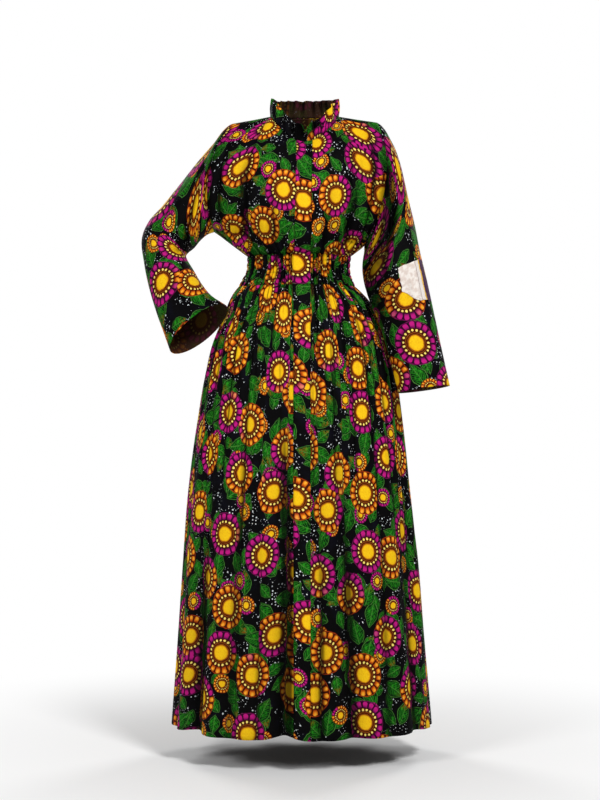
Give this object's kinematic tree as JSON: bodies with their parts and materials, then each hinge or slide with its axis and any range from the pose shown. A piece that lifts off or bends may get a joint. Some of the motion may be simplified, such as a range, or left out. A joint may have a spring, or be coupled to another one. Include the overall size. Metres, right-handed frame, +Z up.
{
  "type": "ankara wax print dress",
  "caption": "Full-length wax print dress in its worn, hollow form, with frilled neck, long sleeves, shirred waist, gathered skirt and a concealed front band.",
  "frame": {"origin": "middle of the neck opening at the height of the shoulder line", "axes": "+Z up along the body, -Y towards the front of the dress, +X towards the wearer's left"},
  "size_m": [0.7, 0.411, 1.442],
  "materials": {
    "wax_print_cotton": "matt printed cotton, near-black ground with flowers and leaves",
    "cream_patch_cotton": "matt cream cotton with a dark edge"
  },
  "bodies": {
    "root": {"bodice_front_right": "wax_print_cotton", "bodice_front_left": "wax_print_cotton", "bodice_back": "wax_print_cotton", "sleeve_right": "wax_print_cotton", "sleeve_left": "wax_print_cotton", "waist_front_right": "wax_print_cotton", "waist_front_left": "wax_print_cotton", "waist_back": "wax_print_cotton", "skirt_front_right": "wax_print_cotton", "skirt_front_left": "wax_print_cotton", "skirt_back": "wax_print_cotton", "front_band": "wax_print_cotton", "neck_ruffle": "wax_print_cotton", "sleeve_patch": "cream_patch_cotton"}
  },
  "joints": []
}
